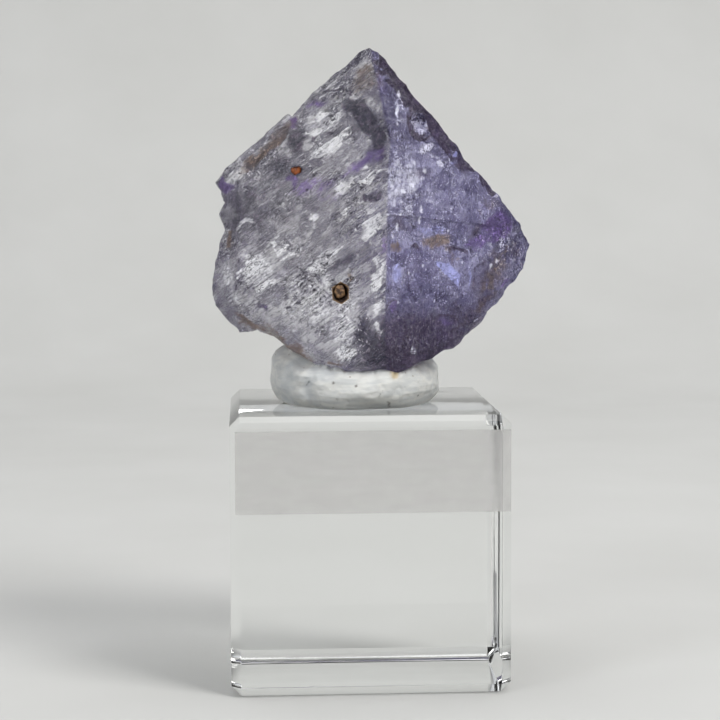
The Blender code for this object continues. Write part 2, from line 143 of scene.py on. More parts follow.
# Marks on the front, described in the same way. A mark is an ellipse with a soft, uneven edge.
SOFT_MARKS = {
    "white": (
        ("patch under the top", -4.1, 51.4, 2.1, 0.95, 22, 1.0),
        ("patch beside the dark cloud", -1.9, 51.3, 0.9, 0.6, 30, 0.6),
        ("broad pale band", -3.3, 49.4, 3.2, 0.9, 26, 0.75),
        ("band below the mauve one", -1.2, 46.3, 3.0, 0.62, 30, 0.85),
        ("wedge", -1.9, 43.75, 1.1, 0.28, 16, 1.0),
        ("cream patch", -5.2, 43.3, 1.2, 0.6, 10, 0.6),
        ("plates beside the ridge", -0.2, 43.0, 1.6, 0.9, 38, 0.5),
        ("big patch at the left", -10.0, 38.0, 1.7, 1.9, 20, 0.95),
        ("streak at the crack", -7.0, 39.65, 1.2, 0.17, 28, 1.0),
        ("swirl left of the crack", -7.7, 38.2, 1.0, 0.35, 22, 0.9),
        ("pale patch by the crack", -6.3, 37.4, 0.8, 0.6, 20, 0.7),
        ("swirl right of the crack", -5.0, 38.4, 0.85, 0.35, 10, 0.85),
        ("beige plates", -3.3, 40.0, 1.9, 0.6, 36, 0.5),
        ("beside the pit", -3.7, 36.9, 0.6, 1.0, 0, 0.6),
        ("below the pit", -4.3, 34.6, 1.3, 1.7, -40, 0.7),
        ("foot of the face", -2.5, 32.9, 1.6, 1.3, 40, 0.9),
        ("pale foot", -2.1, 30.7, 1.4, 0.9, -30, 0.65),
        ("pale lower face", -2.6, 34.4, 2.2, 1.4, 60, 0.5),
        ("strip beside the ridge", 0.8, 38.0, 6.0, 0.7, 90, 0.65),
        ("sliver beside the ridge", 0.9, 33.4, 1.3, 0.3, 90, 0.6),
        ("left side", -12.9, 37.6, 1.4, 0.5, 90, 0.55),
        # A painted highlight along the crease of the left side.
        ("glint in the crease", -11.9, 37.7, 0.9, 0.13, 90, 1.0),
        ("foot of the crease", -11.9, 35.5, 0.5, 0.35, 90, 0.6),
        ("cloud under the pit", 5.4, 49.3, 0.75, 0.6, 60, 0.9),
        ("cloud to its right", 6.5, 48.2, 1.0, 0.45, -14, 0.75),
        ("cloud to its left", 4.0, 50.0, 1.0, 0.35, 30, 0.55),
        ("strip left of the pit", 2.7, 52.8, 1.6, 0.35, 100, 0.7),
        ("inside the pit", 4.8, 51.7, 0.85, 1.15, 20, 0.85),
        ("frosted zone", 3.2, 46.0, 1.9, 3.2, 0, 0.75),
        ("bevel by the left tip", -12.0, 46.7, 1.3, 0.5, 45, 0.8),
        ("middle of the face", 5.0, 44.8, 1.3, 1.1, 0, 0.3),
        ("near the right edge", 10.5, 43.4, 0.28, 0.5, -20, 0.8),
        ("low pale patch", 7.3, 36.1, 1.2, 0.7, 0, 0.35),
        ("beside the ridge", 2.7, 35.0, 0.3, 0.35, 0, 0.7),
        ("flakes at the foot", 4.1, 31.1, 0.5, 0.3, -50, 0.7),
        ("lilac white by the ridge", 0.4, 41.6, 3.4, 1.0, 80, 0.5),
        ("pale lower middle", -5.4, 35.6, 1.6, 1.2, 20, 0.6),
    ),
    "dark": (
        ("dark cloud", -0.3, 51.9, 2.1, 0.95, -41, 1.0),
        ("dark cloud, upper end", -1.7, 53.0, 0.8, 0.6, -20, 0.7),
        ("along the ridge, top", 0.8, 50.4, 2.4, 0.7, 95, 0.9),
        ("upper left of the face", -8.4, 46.6, 4.0, 2.4, 45, 0.42),
        ("left edge under the tip", -11.8, 43.6, 3.0, 1.2, 80, 0.45),
        ("slate spot", -3.6, 50.5, 0.55, 0.24, 5, 1.0),
        ("upright slate spot", -4.8, 50.0, 0.75, 0.24, 80, 0.95),
        ("behind the bevel", -6.1, 50.2, 1.3, 0.8, 60, 0.75),
        ("hatched", -1.2, 50.9, 0.6, 0.25, 90, 0.7),
        ("left of the orange grain", -7.4, 47.8, 1.4, 0.9, 40, 0.6),
        ("left of the lilac", -10.6, 45.1, 1.5, 1.1, 60, 0.5),
        ("around the ring", -9.6, 43.0, 1.8, 1.1, 30, 0.5),
        ("inside the ring", -10.8, 42.0, 0.45, 0.45, 0, 0.4),
        ("shade across the middle", -5.8, 43.6, 4.2, 1.9, 30, 0.34),
        ("shade above the pit", -3.4, 41.0, 2.8, 1.1, 34, 0.3),
        ("blue-grey spot", -0.55, 44.9, 0.35, 0.3, 0, 0.9),
        ("blue-grey patch", 0.5, 45.0, 0.9, 0.35, 10, 0.8),
        ("grey band", -2.3, 39.0, 2.3, 0.45, 32, 0.6),
        ("left of the pit", -4.6, 37.3, 0.8, 0.35, -40, 0.5),
        ("corner patch", -9.8, 34.9, 0.55, 0.45, 0, 0.6),
        ("rough strip by the ridge", -0.3, 32.3, 2.6, 0.65, 94, 0.6),
        ("foot of the right face", 4.6, 30.8, 6.0, 4.4, -2, 0.85),
        ("foot, right", 8.4, 33.0, 4.4, 2.4, 34, 0.55),
        ("right side", 11.6, 37.2, 4.6, 2.1, 60, 0.45),
        ("top of the crystal", 0.1, 55.6, 2.6, 1.8, 60, 0.3),
        ("strip along the upper left edge", -9.0, 49.2, 5.2, 0.8, 43, 0.55),
        ("dash", 4.5, 40.3, 0.6, 0.24, 0, 1.0),
        ("maroon band", 8.2, 39.9, 1.4, 0.32, -4, 0.75),
        ("right part of the face", 10.6, 41.9, 1.4, 0.6, 30, 0.6),
        # Painted shade under the ledge.
        ("under the ledge", 2.8, 42.3, 1.2, 0.6, 0, 0.45),
        ("blue-grey shade", 4.6, 46.9, 1.4, 0.5, 0, 0.5),
        ("side, low", 10.8, 35.2, 0.7, 2.2, -38, 0.6),
        ("chip", 8.4, 31.8, 1.1, 0.45, 38, 0.9),
    ),
    "violet": (
        ("left tip", -13.0, 45.8, 0.6, 0.75, 30, 1.0),
        ("under the orange grain", -6.8, 46.4, 1.0, 0.5, 32, 0.95),
        ("lilac area", -4.9, 46.0, 2.4, 1.2, 10, 0.5),
        ("lilac below it", -4.0, 44.6, 2.6, 1.0, 30, 0.38),
        ("mauve band", -0.3, 48.1, 2.8, 0.6, 36, 0.6),
        ("mauve top", 0.8, 54.8, 1.6, 1.6, 0, 0.35),
        ("dark foot", 5.0, 32.0, 4.6, 1.8, 0, 0.3),
        ("top of the left face", -4.6, 53.3, 1.0, 0.4, 10, 0.6),
        ("step in the bevel", -6.7, 51.6, 0.4, 0.6, 0, 0.8),
        ("corner patch", -9.8, 34.9, 0.6, 0.45, 0, 0.5),
        ("bright violet corner", 12.4, 42.2, 1.8, 1.2, 20, 1.0),
        ("under the corner", 11.2, 40.9, 2.6, 0.7, 10, 0.7),
        ("edge below it", 13.2, 36.6, 0.9, 0.4, 45, 0.7),
        ("small oval", 2.2, 34.7, 0.55, 0.75, 0, 0.6),
        ("oval mark", 7.2, 33.6, 1.0, 0.42, 0, 0.6),
        ("beside the ridge", 1.5, 40.5, 2.6, 0.5, 90, 0.4),
    ),
    "blue": (
        ("bright spot", 8.0, 48.8, 0.28, 0.3, 0, 1.0),
        ("below the bright spot", 8.1, 48.0, 0.3, 0.5, 0, 0.5),
        ("upright streak", 9.6, 37.4, 1.1, 0.35, 90, 0.6),
        ("lavender", 2.6, 38.0, 1.3, 0.8, 90, 0.5),
        ("below the ledge", 6.0, 41.8, 2.2, 0.5, 0, 0.45),
    ),
    "brown": (
        ("left side", -12.5, 40.7, 1.0, 0.4, 70, 0.9),
        ("upper left bevel", -9.0, 49.4, 5.0, 0.8, 43, 0.6),
        ("rust on the bevel", -8.4, 49.3, 0.35, 0.28, 40, 0.8),
        ("rust above it", -7.9, 49.8, 0.3, 0.25, 40, 0.7),
        ("smear by the pit", -1.7, 37.5, 0.6, 0.55, 40, 0.55),
        ("smear above the pit", -1.5, 38.5, 0.5, 0.4, 40, 0.3),
        ("lower left edge", -10.6, 33.2, 2.2, 0.5, -28, 0.8),
        ("lower left bevel", -7.4, 31.4, 3.4, 0.7, -36, 0.8),
        ("stain at the foot", -3.1, 29.7, 0.9, 0.25, -14, 0.9),
        ("tan patch", 2.4, 40.3, 0.65, 0.65, 0, 0.8),
        ("brown patch", 6.5, 40.8, 1.6, 0.85, 0, 0.75),
        ("lower end of the brown patch", 7.6, 39.8, 0.9, 0.6, -40, 0.55),
        ("olive patch", 7.8, 39.1, 0.5, 0.4, 0, 0.6),
        ("top", -0.1, 55.4, 2.2, 1.5, 60, 0.5),
        ("right corner", 14.2, 40.0, 1.0, 1.8, 10, 0.55),
        ("right side", 12.4, 38.0, 3.4, 1.4, 60, 0.5),
        ("lower right edge", 9.6, 34.0, 3.2, 0.5, 42, 0.5),
        ("right edge", 11.4, 44.0, 0.9, 1.1, 20, 0.4),
    ),
    # Flaky, frosted zones: their relief breaks into facets, and painted sparkle whitens their colour.
    "flake": (
        ("rough lower middle", -6.2, 34.4, 2.3, 1.6, -20, 1.0),
        ("beside the crack", -6.0, 37.0, 2.6, 1.5, 20, 0.8),
        ("left of the ridge, low", -0.6, 33.0, 3.2, 0.9, 92, 0.9),
        ("frosted zone", 3.1, 46.5, 3.6, 1.6, 90, 1.0),
        ("middle of the right face", 6.0, 45.6, 3.2, 2.2, 0, 0.7),
        ("strip left of the pit", 2.9, 53.2, 2.2, 0.8, 100, 1.0),
        ("right side", 12.6, 40.2, 3.4, 1.8, 100, 1.0),
        ("upper left bevel", -9.6, 48.2, 3.2, 1.4, 44, 1.0),
        ("around the orange grain", -7.4, 47.2, 1.8, 1.0, 20, 0.7),
        ("below the top", -3.4, 51.8, 2.4, 1.2, 20, 0.6),
        ("foot of the right face", 4.4, 31.4, 1.6, 0.8, 0, 0.5),
        ("middle of the left face", -6.4, 41.6, 3.0, 1.4, 20, 0.5),
    ),
    "speck": (
        ("top", -0.4, 54.6, 1.8, 1.4, 0, 1.0),
        ("left of the top", -4.2, 52.8, 2.4, 1.2, 30, 0.8),
        ("lilac area", -5.4, 45.4, 3.4, 1.6, 10, 0.8),
        ("lower middle", -6.6, 34.0, 3.4, 1.8, -30, 0.7),
        ("right side", 12.4, 39.8, 3.6, 1.7, 100, 1.0),
        ("right face", 6.0, 38.6, 3.8, 4.0, 0, 0.7),
        ("left bevel", -9.4, 47.6, 3.0, 1.2, 44, 0.8),
        ("foot of the face", -0.6, 32.6, 2.6, 1.2, 90, 0.8),
    ),
    "clear": (
        ("left tip", -13.3, 46.4, 1.0, 1.2, 45, 1.0),
        ("lump under the tip", -12.9, 43.4, 0.5, 1.1, 0, 0.8),
        ("lens at the lower left", -11.1, 33.1, 0.9, 0.35, -15, 0.9),
        ("right corner", 14.6, 40.2, 0.8, 1.2, 10, 0.5),
        ("dark cloud", -0.3, 51.9, 2.0, 0.9, -41, 0.5),
        ("bevel by the tip", -11.6, 47.2, 1.2, 0.6, 45, 0.5),
    ),
}

# Flat sided patches on the front: what it is, its corners clockwise as x and height, strength.
PLATE_MARKS = {
    "white": (
        ("diamond", ((-9.0, 40.9), (-8.0, 41.8), (-6.8, 40.4), (-8.3, 39.2)), 0.8),
        ("foot plate", ((-4.4, 32.3), (-3.2, 33.9), (-1.4, 34.1), (-0.9, 32.4), (-1.6, 31.2)), 0.5),
    ),
    "blue": (
        ("pale triangle", ((5.8, 39.1), (7.5, 38.9), (8.8, 37.8), (8.5, 36.3)), 1.0),
    ),
}

# Rings: what it is, centre x, height, half width, half height, ring thickness as a share, strength.
RING_MARKS = {
    "white": (
        ("ring on the left", -10.8, 42.0, 0.8, 0.8, 0.34, 0.5),
    ),
    "dark": (
        ("rim of the pit", 5.0, 51.4, 1.25, 1.3, 0.12, 0.9),
        ("rim of the oval mark", 7.2, 33.6, 1.0, 0.46, 0.22, 0.8),
        ("rim of the small oval", 2.2, 34.7, 0.6, 0.8, 0.16, 0.5),
    ),
}

# Thin cracks and lines on the front: what it is, half width, strength, and the points it runs through.
LINE_MARKS = {
    "dark": (
        (
            "crack by the diamond", 0.07, 0.7,
            ((-7.5, 41.4), (-6.6, 39.9), (-6.3, 38.6), (-5.6, 37.8), (-5.2, 37.2)),
        ),
        ("crack below it", 0.1, 0.7, ((-4.5, 36.9), (-5.0, 36.3), (-6.1, 35.5), (-7.4, 34.8))),
        ("top crack", 0.09, 0.7, ((-4.0, 54.3), (-2.6, 54.6), (-1.3, 54.3), (-1.6, 53.6))),
        ("dotted arc", 0.09, 0.6, ((-5.9, 50.9), (-5.2, 51.8), (-4.4, 52.0), (-3.7, 52.6), (-2.9, 52.7))),
        ("upper edge of the mauve band", 0.09, 0.6, ((-2.1, 47.4), (-0.6, 48.5), (1.3, 49.8))),
        ("lower edge of the mauve band", 0.09, 0.5, ((-1.7, 46.4), (-0.4, 47.2))),
        ("scratch", 0.07, 0.6, ((-3.5, 45.0), (-2.7, 45.6))),
        ("right of the lower grain", 0.08, 0.6, ((-4.0, 36.5), (-3.2, 35.7))),
        # Painted shade in the crease of the left side.
        ("crease of the left side", 0.12, 0.7, ((-11.7, 41.0), (-11.8, 39.0), (-12.0, 36.4))),
        ("flake edge at the foot", 0.08, 0.5, ((-1.5, 35.0), (-1.4, 34.0), (-0.8, 33.2), (-0.8, 31.6))),
        ("front of the right side", 0.12, 0.6, ((12.5, 40.2), (11.2, 39.0), (10.1, 38.3), (10.0, 36.4))),
        ("level line", 0.07, 0.6, ((3.0, 34.7), (4.5, 34.7))),
        ("upright line", 0.08, 0.6, ((4.9, 38.5), (4.9, 37.4))),
        ("upright blue line", 0.08, 0.7, ((3.7, 38.1), (3.6, 36.7))),
        ("line by the right spot", 0.09, 0.7, ((10.0, 44.1), (10.7, 42.9), (10.2, 42.2))),
        ("ledge shadow", 0.1, 0.5, ((1.8, 43.2), (4.0, 43.0))),
        # Painted shade along the upper right edge, down to its lower end.
        ("upper right edge", 0.5, 1.0, ((0.9, 57.0), (2.6, 54.9), (4.0, 53.1), (5.6, 51.4), (7.2, 50.0))),
        (
            "lower end of that edge", 0.36, 0.9,
            ((7.2, 50.0), (8.5, 48.8), (9.3, 47.7), (10.6, 46.5), (11.8, 45.2)),
        ),
        (
            "lower rim of the pit", 0.13, 1.0,
            ((3.7, 52.6), (3.6, 51.5), (4.1, 50.7), (5.0, 50.4), (6.0, 50.8)),
        ),
        ("wedge in the pit", 0.16, 0.9, ((4.0, 52.0), (4.5, 51.2))),
    ),
    "white": (
        # These white lines are painted highlights along edges, ledges and rims.
        ("light line by the bevel", 0.06, 0.6, ((-5.6, 52.0), (-7.4, 49.7), (-9.1, 48.0))),
        ("light line on the bevel", 0.07, 0.6, ((-9.4, 47.2), (-10.3, 46.4), (-11.4, 46.1))),
        ("edge of the pit plate", 0.06, 0.5, ((-3.1, 35.4), (-2.4, 35.1), (-1.9, 35.6))),
        ("edge of the chip", 0.06, 0.55, ((7.6, 31.5), (8.6, 32.6), (10.0, 33.4), (12.1, 35.0))),
        ("lit ledge", 0.06, 0.5, ((1.8, 43.35), (4.2, 43.2))),
        ("rim of the flake", 0.07, 0.6, ((-9.5, 46.9), (-8.4, 47.6))),
    ),
}

# Dark specks on the front as x, height and radius.
SPECKS = (
    (-2.7, 53.8, 0.16), (-3.7, 52.6, 0.15), (-3.3, 51.9, 0.14), (-6.3, 38.5, 0.18), (-5.6, 37.7, 0.15),
    (-5.4, 37.3, 0.16), (-4.9, 36.5, 0.2), (-5.9, 35.7, 0.17), (-4.9, 46.8, 0.22), (-5.5, 45.5, 0.17),
    (-6.3, 44.8, 0.15), (-1.8, 37.0, 0.2), (0.1, 55.0, 0.2), (-0.6, 54.6, 0.18), (7.4, 48.7, 0.1),
)

# Painted glints: small highlights painted on the front, as x, height, half width and half height.
PAINTED_GLINTS = (
    (2.9, 54.1, 0.13, 0.3), (2.7, 52.6, 0.1, 0.35), (2.6, 51.5, 0.09, 0.3), (4.2, 47.9, 0.12, 0.14),
    (5.2, 47.2, 0.14, 0.18), (4.0, 46.0, 0.14, 0.12), (3.1, 45.4, 0.18, 0.16), (4.9, 43.7, 0.1, 0.3),
    (4.7, 42.8, 0.1, 0.36), (2.6, 42.1, 0.09, 0.36), (2.3, 41.3, 0.08, 0.14), (7.4, 41.8, 0.1, 0.08),
    (1.7, 43.3, 0.12, 0.08), (2.9, 43.3, 0.16, 0.08), (3.8, 38.0, 0.09, 0.12), (5.0, 38.6, 0.08, 0.1),
    (4.0, 30.9, 0.1, 0.3), (4.3, 30.7, 0.08, 0.25), (11.6, 38.4, 0.14, 0.16), (12.2, 38.9, 0.1, 0.22),
)

# The dark filling of the lower grain's pit, as the corners of its six sided outline, clockwise.
PIT_FILLING = ((-2.5, 37.2), (-1.8, 36.8), (-1.75, 35.7), (-2.4, 35.2), (-3.2, 35.6), (-3.25, 36.7))

# Folds and creases of the putty: what it is, half width, depth, and the points on the front that it runs
# through.
PUTTY_FOLDS = (
    ("fold behind the lump", 0.9, 0.45, ((-5.9, 29.9), (-7.0, 29.1), (-7.6, 27.5), (-7.3, 26.0))),
    (
        "end of the front roll", 0.8, 0.4,
        ((-3.4, 28.83), (-4.9, 28.8), (-5.5, 28.2), (-5.6, 27.3), (-5.0, 26.1)),
    ),
    ("low crease", 0.3, 0.16, ((-1.9, 25.85), (-0.6, 25.92), (0.6, 26.1), (1.8, 25.6))),
    ("dent in the roll", 0.9, 0.14, ((0.4, 28.3), (0.2, 27.4))),
)
# A crack in the putty, drawn only as a dark line of painted shade.
PUTTY_CRACK_SHADE = ((1.8, 26.2), (1.9, 25.7))

# Specks of dirt on the putty's front as x, height and radius.
PUTTY_DIRT = (
    (-3.17, 28.06, 0.1),
    (-2.91, 26.52, 0.08),
    (-1.19, 27.81, 0.12),
    (4.66, 26.59, 0.08),
    (1.0, 27.1, 0.06),
)

# The crystal's masks, each from 0 to 1 at every vertex.
MASKS = (
    "veil", "rust", "white", "dark", "violet", "blue", "brown", "clear", "flake", "speck", "dot", "glint",
    "frost", "right",
)


def srgb(red, green, blue):
    """A colour given as it looks on a screen, from 0 to 255, as Blender's linear values."""
    parts = [part / 255 for part in (red, green, blue)]
    return (*(p / 12.92 if p <= 0.04045 else ((p + 0.055) / 1.055) ** 2.4 for p in parts), 1.0)


class Graph:
    """Adds nodes to a material or world and joins them. A value is a number, a colour or a node's socket."""

    def __init__(self, owner):
        owner.use_nodes = True
        self.owner = owner
        self.nodes = owner.node_tree.nodes
        self.links = owner.node_tree.links

    def feed(self, socket, value):
        if isinstance(value, bpy.types.NodeSocket):
            self.links.new(value, socket)
        else:
            socket.default_value = value

    def node(self, kind, inputs, **settings):
        made = self.nodes.new(kind)
        for name, value in settings.items():
            setattr(made, name, value)
        for name, value in inputs.items():
            self.feed(made.inputs[name], value)
        return made

    def principled(self, **values):
        """Sets the shader's own sockets, named with _ for a space."""
        shader = self.nodes["Principled BSDF"]
        for name, value in values.items():
            self.feed(shader.inputs[name.replace("_", " ")], value)

    def vector(self, operation, first, second, output="Vector"):
        inputs = {0: first, 1: second}
        return self.node("ShaderNodeVectorMath", inputs, operation=operation).outputs[output]

    def millimetres(self):
        where = self.node("ShaderNodeTexCoord", {}).outputs["Object"]
        return self.vector("MULTIPLY", where, (1 / MM,) * 3)

    def stretched(self, where, sizes, turn=0.0):
        """Coordinates turned about Y, in which one unit is sizes millimetres long."""
        made = self.node(
            "ShaderNodeMapping",
            {"Vector": where, "Rotation": (0.0, -turn, 0.0), "Scale": sizes},
            vector_type="TEXTURE",
        )
        return made.outputs["Vector"]

    def mask(self, name):
        return self.node("ShaderNodeAttribute", {}, attribute_name=name).outputs["Fac"]

    def math(self, operation, first, second=0.0, third=0.0, clamp=False):
        inputs = {0: first, 1: second, 2: third}
        return self.node("ShaderNodeMath", inputs, operation=operation, use_clamp=clamp).outputs["Value"]

    def times(self, first, *others):
        """The product of all values."""
        for other in others:
            first = self.math("MULTIPLY", first, other)
        return first

    def most(self, first, *others):
        """The largest of all values."""
        for other in others:
            first = self.math("MAXIMUM", first, other)
        return first

    def plus(self, base, value, factor=1.0, clamp=False):
        """The base, with a value added to it by a factor."""
        return self.math("MULTIPLY_ADD", value, factor, third=base, clamp=clamp)

    def blend(self, low, high, share):
        """Between two values."""
        made = self.node("ShaderNodeMix", {0: share, 2: low, 3: high}, data_type="FLOAT")
        return made.outputs[0]

    def ramp(self, value, start, end, low=0.0, high=1.0):
        """Runs smoothly from low to high while the value goes from start to end."""
        inputs = {"Value": value, "From Min": start, "From Max": end, "To Min": low, "To Max": high}
        return self.node("ShaderNodeMapRange", inputs, interpolation_type="SMOOTHSTEP").outputs["Result"]

    def mix(self, low, high, share, clamp=True):
        """Between two colours."""
        inputs = {0: share, 6: low, 7: high}
        return self.node("ShaderNodeMix", inputs, data_type="RGBA", clamp_factor=clamp).outputs[2]

    def noise(self, where, scale=1.0, detail=3.0, rough=0.5, distortion=0.0):
        inputs = {"Vector": where, "Scale": scale, "Detail": detail, "Roughness": rough}
        inputs["Distortion"] = distortion
        return self.node("ShaderNodeTexNoise", inputs).outputs["Fac"]

    def facets(self, where, sizes, slope, turn=0.0):
        """Height of flat facets of sizes millimetres, each tilted its own way by about slope."""
        stretched = self.stretched(where, sizes, turn)
        made = self.node("ShaderNodeTexVoronoi", {"Vector": stretched, "Scale": 1.0})
        offset = self.vector("SUBTRACT", stretched, made.outputs["Position"])
        tilt = self.vector("SUBTRACT", made.outputs["Color"], (0.5,) * 3)
        height = self.vector("DOT_PRODUCT", offset, tilt, "Value")
        return self.times(height, 2 * slope * min(sizes))

    def plates(self, where):
        """A random value from 0 to 1 for each flat sided plate, and the distance to its edge."""
        inputs = {"Vector": where, "Scale": 1.0}
        inner = self.node("ShaderNodeTexVoronoi", inputs, distance="CHEBYCHEV").outputs["Color"]
        edge = self.node("ShaderNodeTexVoronoi", inputs, feature="DISTANCE_TO_EDGE").outputs["Distance"]
        return self.node("ShaderNodeSeparateColor", {0: inner}).outputs["Red"], edge

    def broken(self, mask, pattern):
        """A mask whose edges follow a pattern, so that a mark fades in streaks and flakes."""
        uneven = self.plus(mask, self.math("SUBTRACT", pattern, 0.5), 1.3)
        return self.ramp(uneven, 0.26, 0.74)

    def bump(self, height, strength, distance):
        inputs = {"Height": height, "Strength": strength, "Distance": distance}
        return self.node("ShaderNodeBump", inputs).outputs["Normal"]

    def absorb(self, colour, density):
        inside = self.node("ShaderNodeVolumeAbsorption", {"Color": colour, "Density": density})
        self.links.new(inside.outputs["Volume"], self.nodes["Material Output"].inputs["Volume"])


def fluorite_patterns(g):
    """The natural patterns that the crystal's colour, cloudiness and relief share."""
    place = g.millimetres()
    side = g.mask("right")
    bent = g.node("ShaderNodeTexNoise", {"Vector": place, "Scale": 0.9, "Detail": 2.0}).outputs["Color"]
    wavy = g.vector("ADD", place, g.vector("MULTIPLY", bent, (0.5,) * 3))

    def streaks(where, left_sizes, right_sizes, detail, rough, distortion):
        """Noise along the growth bands on the left side, and along X and Z on the right side."""
        left = g.noise(g.stretched(where, left_sizes, BAND_TILT), 1.0, detail, rough, distortion)
        right = g.noise(g.stretched(where, right_sizes), 1.0, detail, rough, distortion)
        return g.blend(left, right, side)

    fibres = g.noise(g.stretched(place, (1.9, 0.6, 0.21), BAND_TILT), 1.0, 3.0, 0.7, 0.5)
    stems = g.noise(g.stretched(place, (0.3, 0.6, 1.8)), 1.0, 3.0, 0.7, 0.4)
    sheets = g.noise(g.stretched(place, (2.0, 0.6, 0.28)), 1.0, 3.0, 0.7, 0.4)
    grain = g.blend(fibres, g.times(g.math("ADD", stems, sheets), 0.5), side)
    slanted, slanted_edge = g.plates(g.stretched(wavy, (2.4, 3.0, 0.8), BAND_TILT))
    squared, squared_edge = g.plates(g.stretched(wavy, (1.3, 3.0, 1.7)))
    plates = g.blend(slanted, squared, side)
    crumbs = g.noise(place, 2.4, 3.0, 0.74, 0.8)
    pattern = g.blend(g.blend(grain, crumbs, 0.4), plates, 0.22)
    threads = streaks(wavy, (0.8, 0.6, 0.32), (0.34, 0.6, 0.5), 2.0, 0.6, 1.2)
    chips = (g.facets(wavy, (1.5, 1.0, 0.55), 0.28, BAND_TILT), g.facets(wavy, (0.8, 1.0, 1.2), 0.28))
    return SimpleNamespace(
        side=side,
        grain=grain,
        plates=plates,
        plate_edges=g.ramp(g.blend(slanted_edge, squared_edge, side), 0.07, 0.02),
        bands=g.noise(g.stretched(wavy, (3.4, 1.6, 0.5), BAND_TILT), 1.0, 3.0, 0.65, 0.3),
        clouds=g.noise(place, 0.42, 2.0, 0.6, 0.6),
        crumbs=crumbs,
        grit=streaks(place, (0.6, 0.2, 0.13), (0.15, 0.2, 0.4), 2.0, 0.7, 0.0),
        veins=g.math("ABSOLUTE", g.math("SUBTRACT", threads, 0.5)),
        chips=g.blend(*chips, side),
        crystals=g.facets(place, (0.36, 0.36, 0.36), 0.6),
        pattern=pattern,
        busy=g.ramp(g.noise(place, 0.34, 1.0, 0.55, 0.8), 0.44, 0.58, 0.22, 1.0),
        dark=g.ramp(g.plus(g.mask("dark"), g.math("SUBTRACT", pattern, 0.5), 0.8), 0.1, 0.7),
    )


def fluorite_veils(g, p):
    """How cloudy the crystal is, and how strong its white marks, the painted sparkle of its flakes and its
    sparks are.
    """
    broad_veil = g.times(g.mask("veil"), g.ramp(p.pattern, 0.38, 0.56, 0.35, 1.0))
    banded = g.ramp(g.math("ADD", p.bands, p.clouds), 0.96, 1.2)
    band_veil = g.times(banded, g.ramp(p.side, 0.0, 1.0, 0.6, 0.4))
    fibre_veil = g.times(g.ramp(p.grain, 0.53, 0.6, 0.0, 0.75), p.busy)
    edge_veil = g.times(p.plate_edges, g.ramp(p.crumbs, 0.45, 0.6, 0.0, 0.6))
    veil = g.times(g.most(band_veil, fibre_veil, broad_veil, edge_veil), g.ramp(p.dark, 0.0, 1.0, 1.0, 0.2))
    white = g.times(g.broken(g.mask("white"), p.pattern), g.ramp(p.pattern, 0.38, 0.54, 0.45, 0.95))
    # Painted sparkle: white specks painted where the flakes lie.
    painted_flake_sparkle = g.times(g.mask("flake"), g.ramp(p.crumbs, 0.54, 0.62))
    between_veins = g.times(g.ramp(p.veins, 0.12, 0.2), g.ramp(p.crumbs, 0.42, 0.6))
    sparks = g.times(between_veins, g.ramp(p.dark, 0.0, 1.0, 0.9, 0.25), p.busy)
    return veil, g.most(white, painted_flake_sparkle, sparks)


def fluorite_colour(g, p, veil, bright):
    """The clear crystal's tone, then its veils, veins and grit, its stains, and last its specks, painted
    glints and pits.
    """

    def tone(name):
        left, right = FLUORITE_TONES[name]
        return g.mix(srgb(*left), srgb(*right), p.side)

    colour = g.mix(tone("clear"), tone("cloud"), g.ramp(p.clouds, 0.52, 0.34, 0.0, 0.8))
    colour = g.mix(colour, tone("plate"), g.ramp(p.plates, 0.6, 0.1, 0.0, 0.7))
    colour = g.mix(colour, tone("fibre"), g.times(g.ramp(p.grain, 0.46, 0.36, 0.0, 0.85), p.busy))
    gloom = g.mix(tone("gloom"), srgb(150, 126, 152), g.ramp(p.crumbs, 0.48, 0.62))
    # The dark marks: the crystal's dark clouds and spots, and also painted shade under the ledge, in the
    # crease, along the upper right edge and on its bevel.
    colour = g.mix(colour, gloom, g.times(p.dark, 0.9))
    colour = g.mix(colour, tone("milk"), veil)
    # The bright marks: white veils and marks, and also painted highlights along edges and in the crease, and
    # the painted sparkle of the flakes.
    colour = g.mix(colour, tone("white"), bright)
    dark_veins = g.times(g.ramp(p.veins, 0.04, 0.015), g.ramp(p.clouds, 0.62, 0.42, 0.25, 1.0))
    colour = g.mix(colour, tone("vein"), g.times(dark_veins, p.busy))
    colour = g.mix(colour, tone("grit"), g.ramp(p.grit, 0.46, 0.36, 0.0, 0.38))
    colour = g.mix(colour, srgb(240, 240, 246), g.ramp(p.grit, 0.55, 0.66, 0.0, 0.26))
    for name, stain, strength in STAINS:
        colour = g.mix(colour, srgb(*stain), g.times(g.broken(g.mask(name), p.pattern), strength))
    deeper = g.node("ShaderNodeGamma", {"Color": colour, "Gamma": 1.65}).outputs["Color"]
    livened = g.node("ShaderNodeHueSaturation", {"Color": deeper, "Saturation": 0.86, "Value": 1.5})
    specks = g.times(g.mask("speck"), g.ramp(p.crumbs, 0.41, 0.35))
    colour = g.mix(livened.outputs["Color"], srgb(40, 34, 46), g.most(specks, g.times(g.mask("dot"), 0.9)))
    # Painted glints: small highlights painted near white, which also let less light through.
    colour = g.mix(colour, srgb(232, 232, 246), g.times(g.mask("glint"), 0.9))
    rust = g.mask("rust")
    pit = g.mix(srgb(128, 100, 72), srgb(44, 30, 24), g.ramp(rust, 0.55, 0.95))
    return g.mix(colour, pit, g.ramp(rust, 0.1, 0.45))


def fluorite_clearness(g, veil, bright):
    clearness = g.plus(0.9, g.most(veil, bright), -0.66)
    for name, change in CLEARNESS_CHANGES.items():
        clearness = g.plus(clearness, g.mask(name), change, clamp=True)
    return clearness


